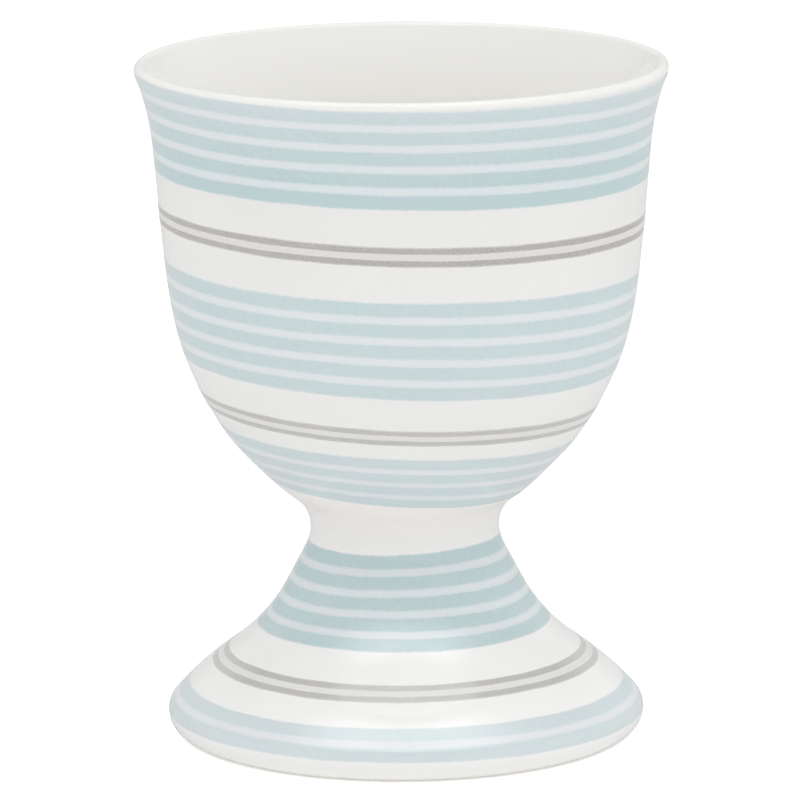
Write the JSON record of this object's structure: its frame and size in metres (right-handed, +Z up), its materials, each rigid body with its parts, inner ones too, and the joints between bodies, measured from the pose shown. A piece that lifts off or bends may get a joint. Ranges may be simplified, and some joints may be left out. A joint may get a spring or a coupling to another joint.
{
  "type": "egg cup",
  "caption": "Footed egg cup: a deep rounded bowl with a thin flared lip on a hollow trumpet foot, glazed ceramic ringed by pale blue and grey stripes; holds a boiled egg upright.",
  "frame": {"origin": "centre of the standing ring, on the surface that the cup stands on", "axes": "+Z up along the cup's axis of turning; the cup is alike all round, so +X and +Y are free"},
  "size_m": [0.051, 0.051, 0.065],
  "materials": {
    "white_glaze": "gloss glaze on white ware",
    "slip": "white slip under the same gloss glaze",
    "pale_blue_print": "pale blue ceramic colour under gloss",
    "grey_print": "warm grey ceramic colour under gloss, slightly grainy"
  },
  "bodies": {
    "root": {"bowl": "white_glaze", "foot": "white_glaze", "luting_slip": "slip", "rim_blue_bands": "pale_blue_print", "upper_grey_lines": "grey_print", "belly_blue_bands": "pale_blue_print", "lower_grey_lines": "grey_print", "base_blue_bands": "pale_blue_print", "stem_blue_bands": "pale_blue_print", "foot_grey_lines": "grey_print", "foot_edge_blue_bands": "pale_blue_print"}
  },
  "joints": []
}
